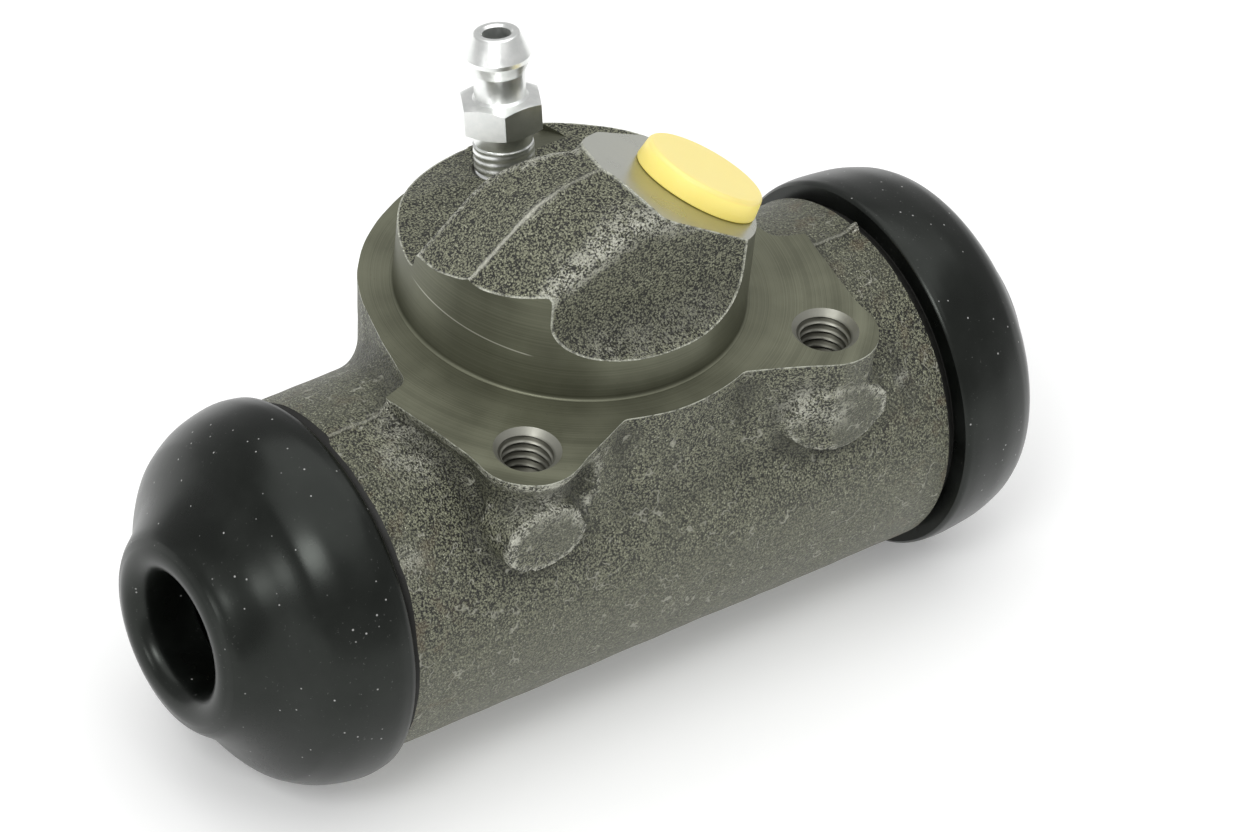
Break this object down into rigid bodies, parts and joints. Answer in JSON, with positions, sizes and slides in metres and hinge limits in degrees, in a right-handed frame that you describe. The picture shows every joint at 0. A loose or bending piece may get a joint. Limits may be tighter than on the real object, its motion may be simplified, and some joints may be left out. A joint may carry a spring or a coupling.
{
  "type": "wheel cylinder",
  "caption": "Drum-brake wheel cylinder: iron barrel with a flanged spigot, tapped ears, bleed screw, plugged pipe port, opposed pistons and rubber dust boots.",
  "frame": {"origin": "where the spigot axis meets the mounting face", "axes": "+Z out along the spigot, +X along the barrel towards the port end, -Y towards the tapped ears"},
  "size_m": [0.1024, 0.0477, 0.0644],
  "materials": {
    "cast_body": "sand-cast grey iron with turned and faced areas",
    "zinc_steel": "bright zinc plating",
    "plug_plastic": "semi-gloss yellow moulding",
    "boot_rubber": "satin black rubber",
    "piston_alloy": "turned",
    "cup_rubber": "smooth black rubber",
    "sheet_steel": "pressed plated sheet",
    "spring_wire": "drawn spring wire"
  },
  "bodies": {
    "housing": {"cylinder_body": "cast_body", "left_boot": "boot_rubber", "right_boot": "boot_rubber", "return_spring": "spring_wire"},
    "left_piston_set": {"left_piston": "piston_alloy", "left_cup": "cup_rubber", "left_expander": "sheet_steel"},
    "right_piston_set": {"right_piston": "piston_alloy", "right_cup": "cup_rubber", "right_expander": "sheet_steel"},
    "bleeder": {"bleed_screw": "zinc_steel"},
    "plug": {"port_plug": "plug_plastic"}
  },
  "joints": [
    {"name": "left_piston_slide", "type": "slide", "parent": "housing", "child": "left_piston_set", "axis": [-1, 0, 0], "range_m": [-0.008, 0.0055], "deforming": ["return_spring"]},
    {"name": "right_piston_slide", "type": "slide", "parent": "housing", "child": "right_piston_set", "axis": [1, 0, 0], "range_m": [-0.008, 0.0055], "deforming": ["return_spring"]},
    {"name": "bleed_screw_turn", "type": "hinge", "parent": "housing", "child": "bleeder", "pos_m": [0, 0.0125, 0.00725], "axis": [0, 0.2317, 0.9728], "range_deg": [0, 360]},
    {"name": "plug_pull", "type": "slide", "parent": "housing", "child": "plug", "axis": [0.5, 0, 0.866], "range_m": [0, 0.014]}
  ]
}
